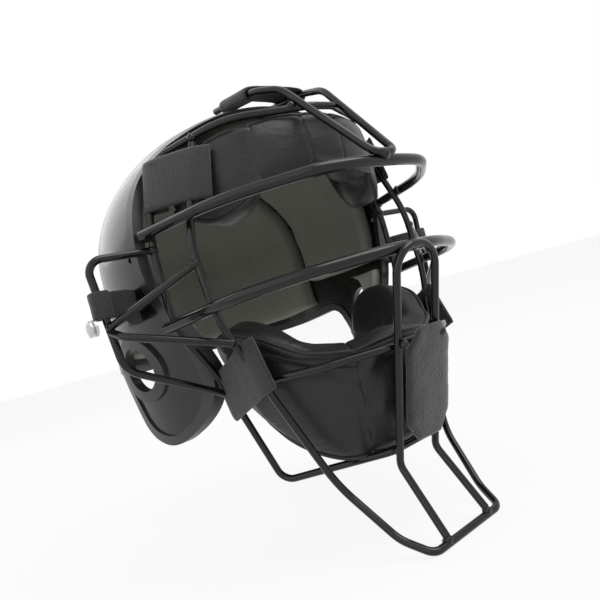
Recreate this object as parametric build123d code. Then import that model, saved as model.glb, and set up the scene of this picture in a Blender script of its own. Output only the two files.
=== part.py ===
from build123d import *
import math
import os

os.makedirs("parts", exist_ok=True)

# A catcher's helmet: a hard skull cap with foam inside, and a welded wire mask
# strapped to its front with two soft pads. Millimetres. The origin is midway
# between the two ear holes, +Z is up, the face looks along -Y and the wearer's
# left is +X.

# Skull cap
shell_half_width = 103.0
shell_half_length = 120.0
shell_centre_y = -6.0
dome_height = 86.0
dome_base_z = 63.0
skirt_depth = 118.0
skirt_draw_in = 6.5
skirt_set_back = 26.0
shell_wall = 3.2
brow_edge_y = -66.0
brow_edge_z = 136.0
temple_edge_y = -38.0
temple_edge_z = 116.0
flap_neck_z = 46.0
flap_front_y = -44.5
flap_back_y = 24.0
flap_bottom_z = -51.0
nape_z = 4.0
nape_dip = 9.0
ear_hole_diameter = 34.0
vent_diameter = 3.2
vent_y = -33.0
vent_z = 62.0

# Edge moulding and ear hole rings
trim_wall = 1.3
trim_cover = 4.5
ring_wall = 3.0
ring_lip = 2.4
ring_flange = 4.0
ring_fit = 0.2

# Foam inside the cap
foam_thickness = 13.0
foam_clearance = 0.3
foam_edge_inset = 8.0
foam_gap = 6.0
crown_foam_diameter = 92.0
side_foam_back_y = 44.0
ear_foam_thickness = 9.0
ear_foam_inset = 5.0
ear_opening_diameter = 44.0
ear_opening_y = 6.0

# Wires of the mask
cage_wire_diameter = 4.2
eye_bar_diameter = 6.2
weld_sink = 0.7

# Places that the mask's wires follow
cage_half_width = 91.0
cage_plane_y = -48.0
upper_bar_z = 72.0
lower_bar_z = 19.0
lower_bar_rise = 6.5
bar_nose_y = -144.0
arch_z = 118.0
arch_nose_y = -113.0
chin_bar_z = -78.0
chin_bar_y = -111.0
jaw_half_width = 50.0
throat_bar_z = -125.0
throat_bar_y = -133.0
throat_half_width = 28.0
throat_corner_radius = 7.0
mouth_half_width = 15.0
mouth_arch_radius = 13.5
jaw_corner_radius = 8.0
jaw_bar_z = -22.0
crown_rest_y = -38.0
crown_rest_gap = 2.0
crown_loop_half_width = 20.0
crown_nose_radius = 5.5
ear_guard_x = 129.5
ear_guard_draw_in = 5.5
ear_guard_top_z = 63.0
ear_guard_bend_z = 3.0
ear_guard_corner = 8.0
ear_guard_low_corner = 14.0
brace_root_z = 26.0

# Pads of the mask
brow_pad_half_width = 77.0
brow_pad_depth = 71.0
brow_pad_centre_y = -39.0
brow_pad_top_z = 117.0
brow_pad_height = 38.0
brow_pad_thickness = 27.0
jaw_pad_half_width = 52.0
jaw_pad_depth = 62.0
jaw_pad_centre_y = -44.0
jaw_pad_foot_z = -83.0
jaw_pad_height = 68.0
jaw_pad_thickness = 25.0
jaw_pad_lean = 18.0

# Webbing tabs
webbing_width = 30.0
webbing_thickness = 1.8
chin_tab_width = 34.0
chin_tab_height = 64.0
chin_tab_thickness = 3.0
chin_tab_corner = 11.0
crown_tab_rise = 1.0
jaw_tab_length = 56.0

# Side straps, their studs and their snaps on the cap
strap_width = 20.0
strap_thickness = 1.8
strap_top_z = 46.0
strap_tail_y = -16.0
strap_clearance = 0.3
strap_slack = 1.2
loop_width = 14.5
stud_diameter = 9.0
stud_neck_diameter = 5.0
stud_height = 4.5
snap_diameter = 7.0
snap_height = 1.2
snap_y = -33.0

cut_overrun = 40.0

# Share of the shorter run beside a bend that its arc takes up, in a wire or
# webbing, in an eye bar, and in the outline of the cap
wire_bend_share = 0.27
bar_bend_share = 0.42
outline_bend_share = 0.45

wire_radius = cage_wire_diameter / 2
bar_radius = eye_bar_diameter / 2
wire_on_wire = cage_wire_diameter - weld_sink
wire_on_bar = wire_radius + bar_radius - weld_sink


def between(start, end, share):
    return start + (end - start) * share


def mirrored(points):
    """The points on the wearer's right, then the same ones back on the left."""
    right = [Vector(-p.X, p.Y, p.Z) for p in points]
    return right + points[::-1]


def bend_radii(points, named_radii={}, run_share=wire_bend_share):
    """A radius for each bend, to take the share of its shorter run, or as named."""
    radii = []
    for index in range(1, len(points) - 1):
        arriving = points[index] - points[index - 1]
        leaving = points[index + 1] - points[index]
        run = min(arriving.length, leaving.length)
        half_turn = math.radians(arriving.get_angle(leaving)) / 2
        radii.append(named_radii.get(index, run_share * run / math.tan(half_turn)))
    return radii


def bent_wire(points, diameter, named_radii={}, run_share=wire_bend_share):
    """A round wire along straight runs joined by tangent bends."""
    path = FilletPolyline(*points, radius=bend_radii(points, named_radii, run_share))
    section = Plane(origin=path @ 0, z_dir=path % 0) * Circle(diameter / 2)
    return sweep(section, path=path)


def straight_wire(start, end, diameter):
    path = Line(start, end)
    return sweep(Plane(origin=start, z_dir=path % 0) * Circle(diameter / 2), path=path)


def both_halves(half):
    return half + mirror(half, about=Plane.YZ)


# The two eye bars, seen from above: shares of the cage's half width, and of its
# depth from the frontal plane to the nose
UPPER_BAR_SHARES = ((0.83, 0.60), (0.40, 0.965), (0.15, 1.005))
LOWER_BAR_SHARES = ((0.915, 0.595), (0.63, 0.85), (0.20, 1.03))


def eye_bar_points(shares, back_z, rise):
    depth = bar_nose_y - cage_plane_y
    end_x = cage_half_width + wire_on_bar
    points = [Vector(end_x, cage_plane_y + wire_radius / 2, back_z)]
    for x_share, y_share in shares:
        y = cage_plane_y + depth * y_share
        points.append(Vector(cage_half_width * x_share, y, back_z + rise * y_share))
    return points


upper_bar = eye_bar_points(UPPER_BAR_SHARES, upper_bar_z, 0)
lower_bar = eye_bar_points(LOWER_BAR_SHARES, lower_bar_z, lower_bar_rise)


def eye_bar(points):
    return bent_wire(mirrored(points), eye_bar_diameter, {}, bar_bend_share)


def inside_of(run_start, run_end, share, distance):
    """A point along a bar's run, moved level towards the face by the distance."""
    along = (run_end - run_start).normalized()
    inward = Vector(along.Y, -along.X, 0).normalized()
    return between(run_start, run_end, share) + inward * distance


# The wire round the face opening. The arch over the brow takes shares of the
# half width, of the arch's depth and of the height above the chin bar, and the
# sides shares of the half width and of that height.
ARCH_SHARES = ((0.09, 1, 0.993), (0.55, 0.61, 1.013), (0.885, 0, 0.975))
SIDE_SHARES = ((1.008, 0.735), (1.008, 0.487), (0.80, 0.312))
cage_height = arch_z - chin_bar_z


def perimeter_points():
    arch_depth = arch_nose_y - cage_plane_y
    points = []
    for x_share, y_share, z_share in ARCH_SHARES:
        z = chin_bar_z + cage_height * z_share
        points.append(Vector(cage_half_width * x_share, cage_plane_y + arch_depth * y_share, z))
    for x_share, z_share in SIDE_SHARES:
        z = chin_bar_z + cage_height * z_share
        points.append(Vector(cage_half_width * x_share, cage_plane_y, z))
    points.append(Vector(jaw_half_width, cage_plane_y, chin_bar_z - 2 * cage_wire_diameter))
    points.append(Vector(mouth_half_width + wire_radius, chin_bar_y, chin_bar_z))
    return points


perimeter = perimeter_points()
arch_nose, arch_bend, arch_end, side_top, side_foot, jaw_bend, jaw_corner, chin_bend = perimeter
chin_middle = Vector(0, chin_bar_y, chin_bar_z)


def perimeter_wire():
    points = [Vector(0, arch_nose.Y, arch_nose.Z)] + perimeter + [chin_middle]
    return both_halves(bent_wire(points, cage_wire_diameter, {7: jaw_corner_radius}))


# The cheek wires run from the arch down inside both eye bars, and on as a hoop
# in front of the throat
cheek_top = between(arch_bend, arch_end, 0.42) - Vector(0, 0, wire_radius)
cheek_upper = inside_of(upper_bar[0], upper_bar[1], 0.54, wire_on_bar)
cheek_lower = inside_of(lower_bar[0], lower_bar[1], 0.56, wire_on_bar)
cheek_bend = cheek_lower - Vector(wire_radius, wire_radius, eye_bar_diameter)
throat_corner = Vector(throat_half_width, throat_bar_y, throat_bar_z)
knee_y = between(cheek_bend, chin_middle, 0.42).Y
throat_knee = Vector(jaw_half_width - cage_wire_diameter, knee_y, chin_bar_z - 2 * cage_wire_diameter)
throat_shin = between(throat_knee, throat_corner, 0.62) - Vector(0, 0, cage_wire_diameter * 1.7)


def throat_guard_wire():
    brow = between(cheek_upper, cheek_lower, 0.28) + Vector(wire_radius, 0, 0)
    points = [cheek_top, brow, cheek_bend, throat_knee, throat_shin, throat_corner]
    points.append(Vector(0, throat_bar_y, throat_bar_z))
    return both_halves(bent_wire(points, cage_wire_diameter, {5: throat_corner_radius}))


def cheek_at(z):
    """The cheek wire's middle at a height below its bend."""
    return between(cheek_bend, throat_knee, (cheek_bend.Z - z) / (cheek_bend.Z - throat_knee.Z))


# The mouth loop hangs in front of the lower eye bar, leans back to the chin bar
# and turns forward to the throat bar
bar_nose = Vector(0, lower_bar[-1].Y, lower_bar[-1].Z)
mouth_top = bar_nose + Vector(0, -wire_on_bar, 0)
mouth_foot = Vector(mouth_half_width, chin_bar_y - wire_on_wire, chin_bar_z)


def mouth_y(z):
    """How far forward the mouth loop's legs stand at a height."""
    return between(mouth_top, mouth_foot, (mouth_top.Z - z) / (mouth_top.Z - mouth_foot.Z)).Y


def mouth_loop_wire():
    corner = Vector(mouth_half_width, mouth_top.Y, mouth_top.Z)
    knee_z = chin_bar_z - 2 * cage_wire_diameter
    knee = Vector(mouth_half_width, mouth_y(knee_z), knee_z)
    toe = Vector(mouth_half_width + wire_radius, throat_bar_y, throat_bar_z + wire_on_wire)
    named_radii = {1: mouth_arch_radius, 2: throat_corner_radius}
    half = bent_wire([mouth_top, corner, knee, toe], cage_wire_diameter, named_radii)
    return both_halves(half)


# The crown loop rises from the nose of the upper eye bar, over the brow arch, to
# rest on the cap
CROWN_SHARES = ((0.80, 0.43, 0.78), (1, 0.62, 0.894))


def dome_z(x, y):
    """The cap's height above a place."""
    off_axis = (x / shell_half_width) ** 2 + ((y - shell_centre_y) / shell_half_length) ** 2
    return dome_base_z + dome_height * math.sqrt(1 - off_axis)


crown_nose = Vector(0, bar_nose_y - wire_on_bar, upper_bar_z + bar_radius)
crown_rest_z = dome_z(crown_loop_half_width, crown_rest_y) + wire_radius + crown_rest_gap
crown_reach = crown_rest_y - crown_nose.Y
crown_rise = crown_rest_z - crown_nose.Z


def crown_loop_wire():
    points = [crown_nose, crown_nose + Vector(1.4 * crown_nose_radius, 0, 0)]
    for x_share, y_share, z_share in CROWN_SHARES:
        step = Vector(crown_loop_half_width * x_share, crown_reach * y_share, crown_rise * z_share)
        points.append(crown_nose + step)
    points.append(Vector(crown_loop_half_width, crown_rest_y, crown_rest_z))
    return both_halves(bent_wire(points, cage_wire_diameter, {1: crown_nose_radius}))


def jaw_bar_wire():
    """The bar that joins the cheek wires behind the mouth loop."""
    root = cheek_at(jaw_bar_z)
    nose_y = mouth_y(jaw_bar_z) + wire_on_wire
    bend = Vector(root.X * 0.75, between(root, Vector(0, nose_y, 0), 0.58).Y, jaw_bar_z)
    nose = Vector(mouth_half_width, nose_y, jaw_bar_z)
    return bent_wire(mirrored([root, bend, nose]), cage_wire_diameter)


# Ear guards stand out from the frame at each side, each with two braces
guard_low_x = ear_guard_x - ear_guard_draw_in
guard_top = Vector(ear_guard_x, cage_plane_y, ear_guard_top_z)
guard_low = Vector(guard_low_x, cage_plane_y, ear_guard_bend_z)


def guard_at(z):
    return between(guard_top, guard_low, (guard_top.Z - z) / (guard_top.Z - guard_low.Z))


def ear_guard_wire():
    root = Vector(cage_half_width, cage_plane_y, ear_guard_top_z)
    foot = between(jaw_bend, jaw_corner, 0.15)
    named_radii = {1: ear_guard_corner, 2: ear_guard_low_corner}
    return bent_wire([root, guard_top, guard_low, foot], cage_wire_diameter, named_radii)


def cheek_brace_wire():
    """A straight brace from the ear guard up to the cheek wire."""
    root = guard_at(brace_root_z + wire_radius / 2) - Vector(wire_radius / 2, wire_radius, 0)
    tip = between(cheek_upper, cheek_lower, 0.5) + Vector(wire_radius, 0, 0)
    return straight_wire(root, tip, cage_wire_diameter)


def jaw_brace_wire():
    """A brace from the ear guard forward, then down to the cheek wire."""
    root = guard_at(brace_root_z - wire_radius) - Vector(0, wire_radius / 2, 0)
    knee = root - Vector(wire_radius, 2.5 * cage_wire_diameter, cage_wire_diameter)
    tip = cheek_at(between(cheek_bend, throat_knee, 0.13).Z) + Vector(wire_radius / 2, -wire_radius / 2, 0)
    return bent_wire([root, knee, tip], cage_wire_diameter)


# The cap is half an ellipsoid over a skirt that draws in towards the neck and
# whose front sets back to the cheeks: shares of the skirt's depth, of its draw-in
# and of its set-back
SKIRT_SHARES = ((0, 0, 0), (0.16, 0.08, 0.24), (0.45, 0.35, 0.78), (0.62, 0.55, 1), (1, 1, 1))


def skin(grow):
    """The cap's outside form as a solid, grown by a distance."""
    size = (shell_half_width + grow, shell_half_length + grow, dome_height + grow)
    half_ball = Sphere(1, arc_size1=0, align=(Align.CENTER, Align.CENTER, Align.MIN))
    dome = Pos(0, shell_centre_y, dome_base_z) * scale(half_ball, by=size)
    rings = []
    for depth_share, draw_share, set_share in SKIRT_SHARES:
        set_back = skirt_set_back * set_share
        ring = Ellipse(shell_half_width - skirt_draw_in * draw_share + grow, shell_half_length - set_back + grow)
        rings.append(Pos(0, shell_centre_y + set_back, dome_base_z - skirt_depth * depth_share) * ring)
    return dome + loft(rings)


def layer(outside, inside):
    return skin(outside) - skin(inside)


# The ear flap in side view: shares across it from front to back, and down it
# from its neck
FLAP_SHARES = ((0, 0.28), (0.04, 0.66), (0.20, 0.88), (0.52, 1), (0.86, 0.90), (1, 0.62))
far_y = shell_centre_y + shell_half_length + cut_overrun
far_z = dome_base_z + dome_height + cut_overrun
far_x = shell_half_width + cut_overrun


def side_outline():
    """What stays of the cap in its side view, y across and z up."""
    cheek_z = flap_neck_z + (temple_edge_z - flap_neck_z) * 0.36
    cheek_y = temple_edge_y + (brow_edge_y - temple_edge_y) * 0.16
    points = [
        Vector(brow_edge_y, far_z),
        Vector(brow_edge_y, brow_edge_z),
        Vector(temple_edge_y, temple_edge_z),
        Vector(cheek_y, cheek_z),
        Vector(temple_edge_y, flap_neck_z),
    ]
    for y_share, z_share in FLAP_SHARES:
        y = flap_front_y + (flap_back_y - flap_front_y) * y_share
        points.append(Vector(y, flap_neck_z + (flap_bottom_z - flap_neck_z) * z_share))
    points.append(Vector(flap_back_y + nape_dip, nape_z))
    points.append(Vector((flap_back_y + far_y) / 2, nape_z - nape_dip))
    points.append(Vector(far_y, nape_z))
    rim = FilletPolyline(*points, radius=bend_radii(points, {}, outline_bend_share))
    closing = Polyline(points[-1], Vector(far_y, far_z), points[0])
    return make_face(rim.edges() + closing.edges())


outline = side_outline()


def through_block(face):
    """The side view's face carried across the whole cap."""
    return extrude(Plane.YZ * face, amount=far_x, both=True)


def across(diameter, y=0, z=0):
    """A round bar across the whole cap."""
    return Pos(0, y, z) * Rot(0, 90, 0) * Cylinder(diameter / 2, 2 * far_x)


def slab(x_low, x_high, y_low, y_high, z_low, z_high):
    middle = Pos((x_low + x_high) / 2, (y_low + y_high) / 2, (z_low + z_high) / 2)
    return middle * Box(x_high - x_low, y_high - y_low, z_high - z_low)


def helmet_shell():
    shell = layer(0, -shell_wall) & through_block(outline)
    return shell - across(ear_hole_diameter) - across(vent_diameter, vent_y, vent_z)


def edge_trim(shell):
    """The moulding that grips the cap's edge inside and out."""
    band = offset(outline, trim_wall) - offset(outline, -trim_cover)
    trim = layer(trim_wall, -shell_wall - trim_wall) & through_block(band)
    return trim - shell


def ear_ring():
    """A raised ring round an ear hole, with a sleeve through the wall."""
    flange = across(ear_hole_diameter + 2 * ring_flange) & layer(ring_lip, 0)
    sleeve = across(ear_hole_diameter - 2 * ring_fit) & layer(ring_lip, -shell_wall)
    ring = flange + sleeve - across(ear_hole_diameter - 2 * ring_wall)
    return ring & slab(0, far_x, -far_y, far_y, -far_z, far_z)


# Foam panels lie inside the cap, a clearance from its wall
foam_outside = -shell_wall - foam_clearance
foam_front_y = temple_edge_y + foam_edge_inset
side_foam_low_z = flap_neck_z - 2 * foam_edge_inset


def foam_layer(thickness, inset):
    trimmed = through_block(offset(outline, -inset))
    return layer(foam_outside, foam_outside - thickness) & trimmed


def crown_disc(diameter):
    return Pos(0, shell_centre_y, far_z) * Cylinder(diameter / 2, 2 * dome_height)


def crown_foam(foam):
    return foam & crown_disc(crown_foam_diameter)


def side_foam(foam):
    panel = foam & slab(foam_gap, far_x, foam_front_y, side_foam_back_y, side_foam_low_z, far_z)
    return panel - crown_disc(crown_foam_diameter + 2 * foam_gap)


def rear_foam(foam):
    panel = foam & slab(-far_x, far_x, side_foam_back_y + foam_gap, far_y, -far_z, far_z)
    return panel - crown_disc(crown_foam_diameter + 2 * foam_gap)


def ear_foam():
    """Foam inside an ear flap, hooked round the ear."""
    foam = foam_layer(ear_foam_thickness, ear_foam_inset)
    below = side_foam_low_z - foam_gap
    foam = foam & slab(0, far_x, -far_y, flap_back_y, -far_z, below)
    opening = across(ear_opening_diameter, ear_opening_y, below - ear_opening_diameter / 2)
    return foam - opening - slab(0, far_x, ear_opening_y, far_y, 0, far_z)


# Soft pads: each section has four bowed sides, and panels meet in drawn-in seams
SECTION_CORNER_SHARE = 0.11


def pad_section(place, thickness, height, back_growth_share):
    """A section with its front on the place, its top further back by a share."""
    edge = thickness * SECTION_CORNER_SHARE
    low = height * SECTION_CORNER_SHARE
    top_back = -thickness * (1 + back_growth_share)
    front_foot = Vector(-edge, low)
    front_top = Vector(-edge, height - low)
    back_top = Vector(top_back + edge, height - low)
    back_foot = Vector(edge - thickness, low)
    sides = [
        ThreePointArc(front_foot, Vector(0, height / 2), front_top),
        ThreePointArc(front_top, Vector(top_back / 2, height), back_top),
        ThreePointArc(back_top, Vector((top_back - thickness) / 2, height / 2), back_foot),
        ThreePointArc(back_foot, Vector(-thickness / 2, 0), front_foot),
    ]
    return place * make_face(sides)


def pad_place(half_width, depth, centre_y, angle, foot_z, lean):
    """A place on a pad's front: an ellipse seen from above, angle from ahead."""
    turn = math.radians(angle)
    outward = Vector(math.sin(turn) / half_width, -math.cos(turn) / depth, 0).normalized()
    tangent = Vector(outward.Y, -outward.X, 0)
    origin = Vector(half_width * math.sin(turn), centre_y - depth * math.cos(turn), foot_z)
    return Plane(origin=origin, x_dir=outward, z_dir=tangent) * Rot(0, 0, -lean)


# Each row: degrees from straight ahead, then shares of the pad's height for the
# foot's drop below the top and for the height, and of its thickness
BROW_MIDDLE_SHARES = ((-9, 0.88, 0.86, 0.80), (0, 0.92, 0.92, 0.96), (9, 0.88, 0.86, 0.80))
BROW_INNER_SHARES = ((9, 0.88, 0.86, 0.80), (21, 0.98, 0.98, 1), (33, 1.00, 0.96, 0.84))
BROW_OUTER_SHARES = (
    (33, 1.00, 0.96, 0.84), (46, 1.24, 1.20, 1), (60, 1.32, 1.18, 0.92), (72, 1.14, 0.86, 0.74), (80, 0.94, 0.50, 0.42)
)
BROW_BACK_SHARE = 0.5


def brow_panel(rows):
    sections = []
    for angle, drop, height, thickness in rows:
        foot_z = brow_pad_top_z - brow_pad_height * drop
        place = pad_place(brow_pad_half_width, brow_pad_depth, brow_pad_centre_y, angle, foot_z, 0)
        back = BROW_BACK_SHARE * math.cos(math.radians(angle))
        sections.append(pad_section(place, brow_pad_thickness * thickness, brow_pad_height * height, back))
    return loft(sections)


def brow_pad():
    sides = brow_panel(BROW_INNER_SHARES) + brow_panel(BROW_OUTER_SHARES)
    return brow_panel(BROW_MIDDLE_SHARES) + both_halves(sides)


# Each row: degrees from straight ahead, then shares of the pad's height for the
# foot's rise and for the height, and of its thickness
JAW_MIDDLE_SHARES = ((-24, 0.01, 0.98, 0.90), (0, 0, 1.02, 1), (24, 0.01, 0.98, 0.90))
JAW_SIDE_SHARES = (
    (24, 0.01, 0.98, 0.90), (44, 0.05, 1.04, 1), (62, 0.18, 1.10, 1), (78, 0.36, 0.99, 0.96),
    (92, 0.52, 0.76, 0.84), (101, 0.66, 0.42, 0.50)
)


def jaw_panel(rows):
    sections = []
    for angle, rise, height, thickness in rows:
        foot_z = jaw_pad_foot_z + jaw_pad_height * rise
        place = pad_place(jaw_pad_half_width, jaw_pad_depth, jaw_pad_centre_y, angle, foot_z, jaw_pad_lean)
        sections.append(pad_section(place, jaw_pad_thickness * thickness, jaw_pad_height * height, 0))
    return loft(sections)


def jaw_pad():
    return jaw_panel(JAW_MIDDLE_SHARES) + both_halves(jaw_panel(JAW_SIDE_SHARES))


# Webbing tabs pass over the wires, which they hold to the pads
webbing_half = webbing_thickness / 2


def band(points, named_radii, thickness, bottom, width):
    """A strip on edge: its line in the level plane, carried up by its width."""
    line = FilletPolyline(*points, radius=bend_radii(points, named_radii))
    return Pos(0, 0, bottom) * extrude(trace(line, line_width=thickness), amount=width)


def temple_tab():
    """Webbing from the brow pad, over the cheek wire, round the frame and back."""
    turn = between(side_top, arch_end, 0.68)
    cheek = between(cheek_upper, cheek_top, 0.60)
    up = (arch_end - side_top).normalized()
    ahead = cheek - turn
    ahead = (ahead - up * ahead.dot(up)).normalized()
    reach = (cheek - turn).dot(ahead)
    out = wire_radius + webbing_half
    points = [
        Vector(reach + webbing_width * 0.45, 0),
        Vector(reach + out, out + webbing_half),
        Vector(-out, out),
        Vector(-out, -out),
        Vector(webbing_width * 0.35, -out),
    ]
    tab = band(points, {2: out * 0.9, 3: out * 0.9}, webbing_thickness, -webbing_width / 2, webbing_width)
    return Plane(origin=turn, x_dir=ahead, z_dir=up) * tab


def crown_tab():
    """Webbing across both legs of the crown loop, with its ends tucked under them."""
    y_share, z_share = CROWN_SHARES[1][1:]
    middle_share = between(y_share, 1, 0.40)
    middle_y = crown_nose.Y + crown_reach * middle_share
    leg_z = crown_nose.Z + crown_rise * between(z_share, 1, 0.40)
    over = wire_radius + webbing_half
    half_width = crown_loop_half_width + over
    points = [
        Vector(half_width * 0.74, -over),
        Vector(half_width, -over),
        Vector(half_width, over),
        Vector(0, over + crown_tab_rise),
        Vector(-half_width, over),
        Vector(-half_width, -over),
        Vector(-half_width * 0.74, -over),
    ]
    named_radii = {1: over * 0.9, 2: over * 0.9, 4: over * 0.9, 5: over * 0.9}
    line = FilletPolyline(*points, radius=bend_radii(points, named_radii))
    ribbon = Plane.XZ * extrude(trace(line, line_width=webbing_thickness), amount=webbing_width / 2, both=True)
    lean = math.degrees(math.atan2(crown_rise * (1 - z_share), crown_reach * (1 - y_share)))
    return Pos(0, middle_y, leg_z) * Rot(lean, 0, 0) * ribbon


def jaw_tab():
    """A rounded strip laid over the cheek wire and the frame beside the jaw."""
    upper = cheek_at(between(cheek_bend, throat_knee, 0.30).Z)
    lower = between(jaw_bend, jaw_corner, 0.16)
    along = (lower - upper).normalized()
    side = along.cross(Vector(1, 0, 0)).normalized()
    outward = side.cross(along).normalized()
    past_wire = jaw_tab_length / 2 - (lower - upper).length / 2 - wire_radius
    middle = between(upper, lower, 0.5) + outward * (cage_wire_diameter * 0.75) - along * past_wire
    rounded = Rectangle(jaw_tab_length, webbing_width)
    rounded = fillet(rounded.vertices(), webbing_width * 0.3)
    return Plane(origin=middle, x_dir=along, z_dir=outward) * extrude(rounded, webbing_half, both=True)


def chin_tab():
    """A soft-faced tab with cut corners in front of the mouth loop's legs."""
    lean = math.degrees(math.atan2(mouth_foot.Y - mouth_top.Y, mouth_top.Z - mouth_foot.Z))
    middle_z = jaw_bar_z - chin_tab_height * 0.38
    middle_x = mouth_half_width - chin_tab_width * 0.28
    off_wire = wire_radius + chin_tab_thickness / 2
    origin = Vector(middle_x, mouth_y(middle_z) - off_wire, middle_z)
    face = Rectangle(chin_tab_width, chin_tab_height)
    face = chamfer(face.vertices(), chin_tab_corner * 0.7)
    face = fillet(face.vertices(), chin_tab_corner * 0.4)
    place = Plane(origin=origin, x_dir=(1, 0, 0), z_dir=(0, -1, 0)) * Rot(lean, 0, 0)
    return place * extrude(face, chin_tab_thickness / 2, both=True)


# Side straps loop round the ear guards and lie back along the cap, where a snap
# holds each one
loop_bottom_z = strap_top_z - loop_width
strap_bottom_z = strap_top_z - strap_width
loop_radius = wire_radius + strap_slack + strap_thickness / 2
strap_off_cap = trim_wall + strap_clearance + strap_thickness / 2
guard_middle = guard_at(strap_top_z - loop_width / 2)


def cap_x(y, grow):
    """Half the cap's width at the straps' top, grown by a distance."""
    depth_share = (dome_base_z - strap_top_z) / skirt_depth
    near = SKIRT_SHARES[1]
    set_back = skirt_set_back * near[2] * depth_share / near[0]
    half_width = shell_half_width - skirt_draw_in * near[1] * depth_share / near[0]
    along = (y - shell_centre_y - set_back) / (shell_half_length - set_back + grow)
    return (half_width + grow) * math.sqrt(1 - along ** 2)


def strap_points():
    """The strap's line from its tail forward, round the ear guard and back."""
    edge_y = temple_edge_y + foam_edge_inset
    behind_y = cage_plane_y + loop_radius
    ahead_y = cage_plane_y - loop_radius
    return [
        Vector(cap_x(strap_tail_y, strap_off_cap), strap_tail_y),
        Vector(cap_x(edge_y, strap_off_cap), edge_y),
        Vector(guard_middle.X - 3 * loop_radius, behind_y + strap_thickness),
        Vector(guard_middle.X + loop_radius, behind_y),
        Vector(guard_middle.X + loop_radius, ahead_y),
        Vector(guard_middle.X - loop_radius, ahead_y),
        Vector(guard_middle.X - loop_radius, cage_plane_y + strap_thickness / 2),
    ]


def side_strap():
    """The strap, cut away below its loop where the braces meet the guard.

    The loop's front is cut away right round to its outer side, up to the stud's
    neck, so that it passes over the brace when the strap swings out.
    """
    named_radii = {3: loop_radius, 4: loop_radius, 5: loop_radius}
    strap = band(strap_points(), named_radii, strap_thickness, strap_bottom_z, strap_width)
    clear_x = guard_middle.X - 2 * loop_radius
    notch = slab(clear_x, guard_middle.X + wire_radius, -far_y, 0, 0, loop_bottom_z)
    front_y = cage_plane_y - stud_neck_diameter / 3
    front = slab(clear_x, far_x, -far_y, front_y, 0, loop_bottom_z)
    return strap - notch - front


def press_stud():
    """The turned stud on the loop's outer side, its axis straight out."""
    neck = stud_neck_diameter / 2
    rim = stud_diameter / 2
    flange = stud_height / 3
    profile = Polyline(
        (0, 0), (rim, 0), (rim, flange), (neck, flange), (neck, 2 * flange), (rim, 2 * flange),
        (rim, stud_height - flange / 2), (neck, stud_height), (0, stud_height), (0, 0)
    )
    stud = revolve(Plane.XZ * make_face(profile.edges()), Axis.Z)
    foot_x = guard_middle.X + loop_radius + strap_thickness / 2
    return Pos(foot_x, cage_plane_y, strap_bottom_z + stud_diameter / 4) * Rot(0, 90, 0) * stud


def cap_snap():
    """The domed snap that holds the strap's tail to the cap."""
    foot = Vector(cap_x(snap_y, strap_off_cap + strap_thickness / 2), snap_y, 0)
    outward = Vector(foot.X / shell_half_width ** 2, (foot.Y - shell_centre_y) / shell_half_length ** 2, 0)
    place = Plane(origin=foot + Vector(0, 0, strap_top_z - strap_width / 2), z_dir=outward.normalized())
    return place * Cone(snap_diameter / 2, snap_diameter / 3, snap_height, align=(Align.CENTER, Align.CENTER, Align.MIN))


def keep(name, shape):
    export_step(shape, "parts/" + name + ".step")


def keep_pair(name, left):
    keep(name + "_left", left)
    keep(name + "_right", mirror(left, about=Plane.YZ))


shell = helmet_shell()
foam = foam_layer(foam_thickness, foam_edge_inset)
keep("helmet_shell", shell)
keep("edge_trim", edge_trim(shell))
keep_pair("ear_ring", ear_ring())
keep("crown_foam", crown_foam(foam))
keep("rear_foam", rear_foam(foam))
keep_pair("side_foam", side_foam(foam))
keep_pair("ear_foam", ear_foam())

keep("upper_eye_bar", eye_bar(upper_bar))
keep("lower_eye_bar", eye_bar(lower_bar))
keep("frame_wire", perimeter_wire())
keep("throat_guard_wire", throat_guard_wire())
keep("mouth_loop_wire", mouth_loop_wire())
keep("crown_loop_wire", crown_loop_wire())
keep("jaw_bar_wire", jaw_bar_wire())
keep_pair("ear_guard_wire", ear_guard_wire())
keep_pair("cheek_brace_wire", cheek_brace_wire())
keep_pair("jaw_brace_wire", jaw_brace_wire())

keep("brow_pad", brow_pad())
keep("jaw_pad", jaw_pad())
keep_pair("temple_tab", temple_tab())
keep("crown_tab", crown_tab())
keep_pair("jaw_tab", jaw_tab())
keep("chin_tab", chin_tab())

keep_pair("side_strap", side_strap())
keep_pair("press_stud", press_stud())
keep_pair("cap_snap", cap_snap())
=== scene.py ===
import math

import bmesh
import bpy
from mathutils import Matrix, Vector, noise


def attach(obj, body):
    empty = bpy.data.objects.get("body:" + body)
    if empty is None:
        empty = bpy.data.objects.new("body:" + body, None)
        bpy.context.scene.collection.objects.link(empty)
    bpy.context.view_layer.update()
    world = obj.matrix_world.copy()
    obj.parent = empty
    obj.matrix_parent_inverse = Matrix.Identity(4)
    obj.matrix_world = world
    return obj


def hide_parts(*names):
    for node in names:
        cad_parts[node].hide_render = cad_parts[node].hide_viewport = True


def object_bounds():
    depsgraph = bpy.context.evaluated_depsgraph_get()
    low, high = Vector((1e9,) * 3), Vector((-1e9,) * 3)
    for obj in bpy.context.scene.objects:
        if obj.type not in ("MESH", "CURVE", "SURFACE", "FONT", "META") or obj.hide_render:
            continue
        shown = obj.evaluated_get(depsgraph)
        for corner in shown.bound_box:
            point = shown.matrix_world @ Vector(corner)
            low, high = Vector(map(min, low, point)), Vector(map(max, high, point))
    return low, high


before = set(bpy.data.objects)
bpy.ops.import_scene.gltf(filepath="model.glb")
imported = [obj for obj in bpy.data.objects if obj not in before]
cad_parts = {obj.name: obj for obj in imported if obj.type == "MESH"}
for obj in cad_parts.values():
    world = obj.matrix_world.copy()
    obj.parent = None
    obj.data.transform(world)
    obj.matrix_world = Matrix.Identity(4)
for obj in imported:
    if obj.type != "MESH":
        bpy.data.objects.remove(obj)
cad_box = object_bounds()
scene = bpy.context.scene

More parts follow.
